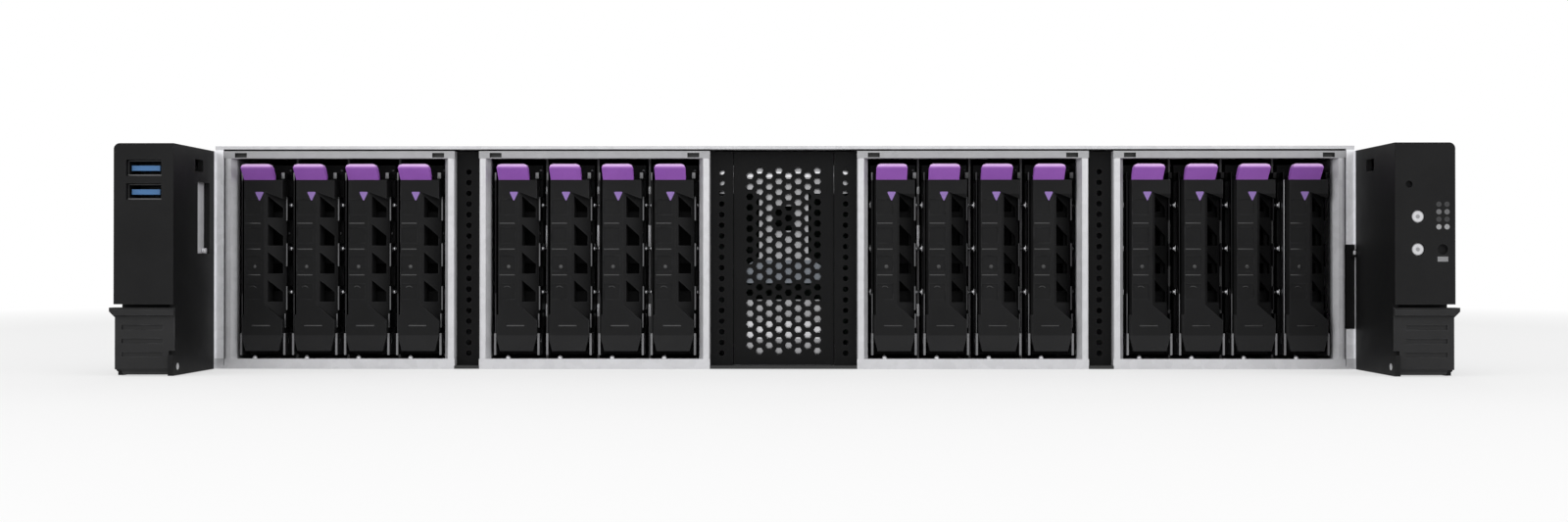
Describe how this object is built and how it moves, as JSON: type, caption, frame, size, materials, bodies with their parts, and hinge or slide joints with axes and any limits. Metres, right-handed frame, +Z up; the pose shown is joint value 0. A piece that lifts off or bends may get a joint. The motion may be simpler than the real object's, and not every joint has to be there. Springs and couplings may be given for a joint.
{
  "type": "rack server",
  "caption": "Rack-mount server with hot-swap drive carriers and hinged levers behind a slim front, rack ears with latches, fans, boards and sliding power supplies under a lift-off lid.",
  "frame": {"origin": "bottom centre of the bounding box", "axes": "+X to the right seen from the front, +Y from the front to the rear, +Z up"},
  "size_m": [0.4866, 0.7762, 0.086],
  "materials": {
    "steel_sheet": "zinc coated sheet",
    "black_panel": "fine black powder coat",
    "carrier_black": "matt",
    "lever_black": "matt, pull tab purple",
    "ear_black": "fine grain",
    "latch_black": "matt",
    "button_silver": "satin plated",
    "socket_metal": "plated shells",
    "board_green": "solder mask",
    "module_dark": "anodised",
    "fin_aluminium": "as rolled",
    "fan_black": "moulded",
    "psu_case": "zinc coated case, black fittings",
    "latch_purple": "moulded",
    "fixing_steel": "plated"
  },
  "bodies": {
    "chassis": {"chassis_base": "steel_sheet", "drive_cages": "steel_sheet", "front_vent_panels": "black_panel", "rear_ports": "socket_metal", "slot_covers": "steel_sheet", "left_ear": "ear_black", "right_ear": "ear_black", "front_io": "socket_metal", "backplane": "board_green", "fan_frames": "fan_black", "system_board": "board_green", "heatsinks": "fin_aluminium", "memory_modules": "module_dark", "pins_and_screws": "fixing_steel"},
    "cover": {"top_cover": "steel_sheet"},
    "cover_latch": {"cover_latch": "latch_black"},
    "drive_01": {"drive_carrier_01": "carrier_black"},
    "lever_01": {"carrier_lever_01": "lever_black"},
    "drive_02": {"drive_carrier_02": "carrier_black"},
    "lever_02": {"carrier_lever_02": "lever_black"},
    "drive_03": {"drive_carrier_03": "carrier_black"},
    "lever_03": {"carrier_lever_03": "lever_black"},
    "drive_04": {"drive_carrier_04": "carrier_black"},
    "lever_04": {"carrier_lever_04": "lever_black"},
    "drive_05": {"drive_carrier_05": "carrier_black"},
    "lever_05": {"carrier_lever_05": "lever_black"},
    "drive_06": {"drive_carrier_06": "carrier_black"},
    "lever_06": {"carrier_lever_06": "lever_black"},
    "drive_07": {"drive_carrier_07": "carrier_black"},
    "lever_07": {"carrier_lever_07": "lever_black"},
    "drive_08": {"drive_carrier_08": "carrier_black"},
    "lever_08": {"carrier_lever_08": "lever_black"},
    "drive_09": {"drive_carrier_09": "carrier_black"},
    "lever_09": {"carrier_lever_09": "lever_black"},
    "drive_10": {"drive_carrier_10": "carrier_black"},
    "lever_10": {"carrier_lever_10": "lever_black"},
    "drive_11": {"drive_carrier_11": "carrier_black"},
    "lever_11": {"carrier_lever_11": "lever_black"},
    "drive_12": {"drive_carrier_12": "carrier_black"},
    "lever_12": {"carrier_lever_12": "lever_black"},
    "drive_13": {"drive_carrier_13": "carrier_black"},
    "lever_13": {"carrier_lever_13": "lever_black"},
    "drive_14": {"drive_carrier_14": "carrier_black"},
    "lever_14": {"carrier_lever_14": "lever_black"},
    "drive_15": {"drive_carrier_15": "carrier_black"},
    "lever_15": {"carrier_lever_15": "lever_black"},
    "drive_16": {"drive_carrier_16": "carrier_black"},
    "lever_16": {"carrier_lever_16": "lever_black"},
    "left_ear_latch": {"left_ear_latch": "latch_black"},
    "right_ear_latch": {"right_ear_latch": "latch_black"},
    "power_button": {"power_button": "button_silver"},
    "id_button": {"id_button": "button_silver"},
    "fan_1": {"fan_rotor_1": "fan_black"},
    "fan_2": {"fan_rotor_2": "fan_black"},
    "fan_3": {"fan_rotor_3": "fan_black"},
    "fan_4": {"fan_rotor_4": "fan_black"},
    "psu_lower": {"psu_lower": "psu_case"},
    "psu_lower_latch": {"psu_lower_latch": "latch_purple"},
    "psu_upper": {"psu_upper": "psu_case"},
    "psu_upper_latch": {"psu_upper_latch": "latch_purple"}
  },
  "joints": [
    {"name": "drive_01_slide", "type": "slide", "parent": "chassis", "child": "drive_01", "axis": [0, -1, 0], "range_m": [0, 0.13]},
    {"name": "drive_01_lever", "type": "hinge", "parent": "drive_01", "child": "lever_01", "pos_m": [-0.2019, -0.34147, 0.0108], "axis": [1, 0, 0], "range_deg": [0, 50]},
    {"name": "drive_02_slide", "type": "slide", "parent": "chassis", "child": "drive_02", "axis": [0, -1, 0], "range_m": [0, 0.13]},
    {"name": "drive_02_lever", "type": "hinge", "parent": "drive_02", "child": "lever_02", "pos_m": [-0.1817, -0.34147, 0.0108], "axis": [1, 0, 0], "range_deg": [0, 50]},
    {"name": "drive_03_slide", "type": "slide", "parent": "chassis", "child": "drive_03", "axis": [0, -1, 0], "range_m": [0, 0.13]},
    {"name": "drive_03_lever", "type": "hinge", "parent": "drive_03", "child": "lever_03", "pos_m": [-0.1615, -0.34147, 0.0108], "axis": [1, 0, 0], "range_deg": [0, 50]},
    {"name": "drive_04_slide", "type": "slide", "parent": "chassis", "child": "drive_04", "axis": [0, -1, 0], "range_m": [0, 0.13]},
    {"name": "drive_04_lever", "type": "hinge", "parent": "drive_04", "child": "lever_04", "pos_m": [-0.1413, -0.34147, 0.0108], "axis": [1, 0, 0], "range_deg": [0, 50]},
    {"name": "drive_05_slide", "type": "slide", "parent": "chassis", "child": "drive_05", "axis": [0, -1, 0], "range_m": [0, 0.13]},
    {"name": "drive_05_lever", "type": "hinge", "parent": "drive_05", "child": "lever_05", "pos_m": [-0.1033, -0.34147, 0.0108], "axis": [1, 0, 0], "range_deg": [0, 50]},
    {"name": "drive_06_slide", "type": "slide", "parent": "chassis", "child": "drive_06", "axis": [0, -1, 0], "range_m": [0, 0.13]},
    {"name": "drive_06_lever", "type": "hinge", "parent": "drive_06", "child": "lever_06", "pos_m": [-0.0831, -0.34147, 0.0108], "axis": [1, 0, 0], "range_deg": [0, 50]},
    {"name": "drive_07_slide", "type": "slide", "parent": "chassis", "child": "drive_07", "axis": [0, -1, 0], "range_m": [0, 0.13]},
    {"name": "drive_07_lever", "type": "hinge", "parent": "drive_07", "child": "lever_07", "pos_m": [-0.0629, -0.34147, 0.0108], "axis": [1, 0, 0], "range_deg": [0, 50]},
    {"name": "drive_08_slide", "type": "slide", "parent": "chassis", "child": "drive_08", "axis": [0, -1, 0], "range_m": [0, 0.13]},
    {"name": "drive_08_lever", "type": "hinge", "parent": "drive_08", "child": "lever_08", "pos_m": [-0.0427, -0.34147, 0.0108], "axis": [1, 0, 0], "range_deg": [0, 50]},
    {"name": "drive_09_slide", "type": "slide", "parent": "chassis", "child": "drive_09", "axis": [0, -1, 0], "range_m": [0, 0.13]},
    {"name": "drive_09_lever", "type": "hinge", "parent": "drive_09", "child": "lever_09", "pos_m": [0.0427, -0.34147, 0.0108], "axis": [1, 0, 0], "range_deg": [0, 50]},
    {"name": "drive_10_slide", "type": "slide", "parent": "chassis", "child": "drive_10", "axis": [0, -1, 0], "range_m": [0, 0.13]},
    {"name": "drive_10_lever", "type": "hinge", "parent": "drive_10", "child": "lever_10", "pos_m": [0.0629, -0.34147, 0.0108], "axis": [1, 0, 0], "range_deg": [0, 50]},
    {"name": "drive_11_slide", "type": "slide", "parent": "chassis", "child": "drive_11", "axis": [0, -1, 0], "range_m": [0, 0.13]},
    {"name": "drive_11_lever", "type": "hinge", "parent": "drive_11", "child": "lever_11", "pos_m": [0.0831, -0.34147, 0.0108], "axis": [1, 0, 0], "range_deg": [0, 50]},
    {"name": "drive_12_slide", "type": "slide", "parent": "chassis", "child": "drive_12", "axis": [0, -1, 0], "range_m": [0, 0.13]},
    {"name": "drive_12_lever", "type": "hinge", "parent": "drive_12", "child": "lever_12", "pos_m": [0.1033, -0.34147, 0.0108], "axis": [1, 0, 0], "range_deg": [0, 50]},
    {"name": "drive_13_slide", "type": "slide", "parent": "chassis", "child": "drive_13", "axis": [0, -1, 0], "range_m": [0, 0.13]},
    {"name": "drive_13_lever", "type": "hinge", "parent": "drive_13", "child": "lever_13", "pos_m": [0.1413, -0.34147, 0.0108], "axis": [1, 0, 0], "range_deg": [0, 50]},
    {"name": "drive_14_slide", "type": "slide", "parent": "chassis", "child": "drive_14", "axis": [0, -1, 0], "range_m": [0, 0.13]},
    {"name": "drive_14_lever", "type": "hinge", "parent": "drive_14", "child": "lever_14", "pos_m": [0.1615, -0.34147, 0.0108], "axis": [1, 0, 0], "range_deg": [0, 50]},
    {"name": "drive_15_slide", "type": "slide", "parent": "chassis", "child": "drive_15", "axis": [0, -1, 0], "range_m": [0, 0.13]},
    {"name": "drive_15_lever", "type": "hinge", "parent": "drive_15", "child": "lever_15", "pos_m": [0.1817, -0.34147, 0.0108], "axis": [1, 0, 0], "range_deg": [0, 50]},
    {"name": "drive_16_slide", "type": "slide", "parent": "chassis", "child": "drive_16", "axis": [0, -1, 0], "range_m": [0, 0.13]},
    {"name": "drive_16_lever", "type": "hinge", "parent": "drive_16", "child": "lever_16", "pos_m": [0.2019, -0.34147, 0.0108], "axis": [1, 0, 0], "range_deg": [0, 50]},
    {"name": "cover_lift", "type": "slide", "parent": "chassis", "child": "cover", "axis": [0, 0, 1], "range_m": [0, 0.12]},
    {"name": "cover_latch_hinge", "type": "hinge", "parent": "cover", "child": "cover_latch", "pos_m": [-0.038, 0.12087, 0.082], "axis": [1, 0, 0], "range_deg": [0, 70]},
    {"name": "left_ear_latch_hinge", "type": "hinge", "parent": "chassis", "child": "left_ear_latch", "pos_m": [-0.23048, -0.38388, 0.0032], "axis": [1, 0, 0], "range_deg": [0, 65]},
    {"name": "right_ear_latch_hinge", "type": "hinge", "parent": "chassis", "child": "right_ear_latch", "pos_m": [0.23048, -0.38388, 0.0032], "axis": [1, 0, 0], "range_deg": [0, 65]},
    {"name": "power_button_press", "type": "slide", "parent": "chassis", "child": "power_button", "axis": [0, 1, 0], "range_m": [0, 0.0012], "stiffness_N_per_m": 300, "springref_m": -0.002},
    {"name": "id_button_press", "type": "slide", "parent": "chassis", "child": "id_button", "axis": [0, 1, 0], "range_m": [0, 0.0012], "stiffness_N_per_m": 300, "springref_m": -0.002},
    {"name": "fan_1_spin", "type": "hinge", "parent": "chassis", "child": "fan_1", "pos_m": [-0.16384, -0.17213, 0.0424], "axis": [0, 1, 0], "continuous": true},
    {"name": "fan_2_spin", "type": "hinge", "parent": "chassis", "child": "fan_2", "pos_m": [-0.05461, -0.17213, 0.0424], "axis": [0, 1, 0], "continuous": true},
    {"name": "fan_3_spin", "type": "hinge", "parent": "chassis", "child": "fan_3", "pos_m": [0.05461, -0.17213, 0.0424], "axis": [0, 1, 0], "continuous": true},
    {"name": "fan_4_spin", "type": "hinge", "parent": "chassis", "child": "fan_4", "pos_m": [0.16384, -0.17213, 0.0424], "axis": [0, 1, 0], "continuous": true},
    {"name": "psu_lower_slide", "type": "slide", "parent": "chassis", "child": "psu_lower", "axis": [0, 1, 0], "range_m": [0, 0.19]},
    {"name": "psu_lower_latch_press", "type": "slide", "parent": "psu_lower", "child": "psu_lower_latch", "axis": [1, 0, 0], "range_m": [0, 0.003], "stiffness_N_per_m": 400, "springref_m": -0.002},
    {"name": "psu_upper_slide", "type": "slide", "parent": "chassis", "child": "psu_upper", "axis": [0, 1, 0], "range_m": [0, 0.19]},
    {"name": "psu_upper_latch_press", "type": "slide", "parent": "psu_upper", "child": "psu_upper_latch", "axis": [1, 0, 0], "range_m": [0, 0.003], "stiffness_N_per_m": 400, "springref_m": -0.002}
  ]
}
